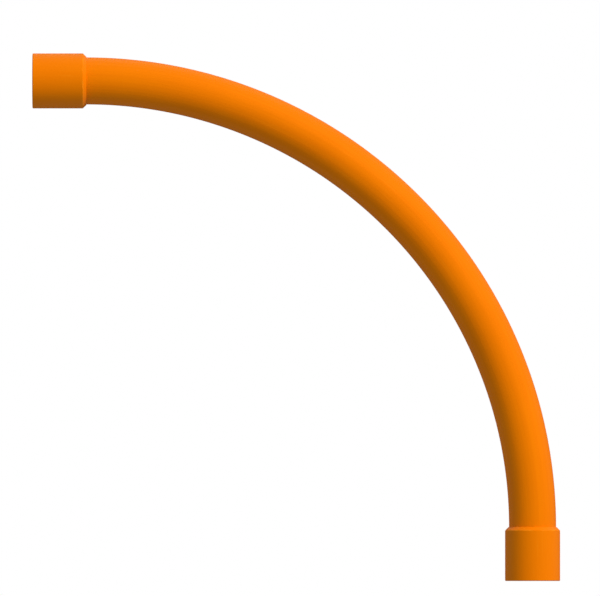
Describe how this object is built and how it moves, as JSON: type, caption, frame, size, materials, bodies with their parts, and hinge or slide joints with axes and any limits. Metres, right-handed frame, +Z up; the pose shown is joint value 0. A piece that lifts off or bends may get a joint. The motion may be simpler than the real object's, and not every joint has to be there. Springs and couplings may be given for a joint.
{
  "type": "conduit elbow",
  "caption": "Long-radius right-angle conduit elbow: a smoothly swept plastic tube with a cemented socket coupling at each end, for joining straight conduit.",
  "frame": {"origin": "centre of the lower coupling's open mouth, on the axis of the vertical leg", "axes": "+Z up the vertical leg from the open mouth; the bend turns in the XZ plane and the horizontal leg runs towards -X, so the upper coupling's mouth faces -X; Y is across the bend's plane"},
  "size_m": [0.5406, 0.0564, 0.5406],
  "materials": {
    "tube_pvc": "satin",
    "coupling_pvc": "satin"
  },
  "bodies": {
    "root": {"sweep_tube": "tube_pvc", "lower_coupling": "coupling_pvc", "upper_coupling": "coupling_pvc"}
  },
  "joints": []
}
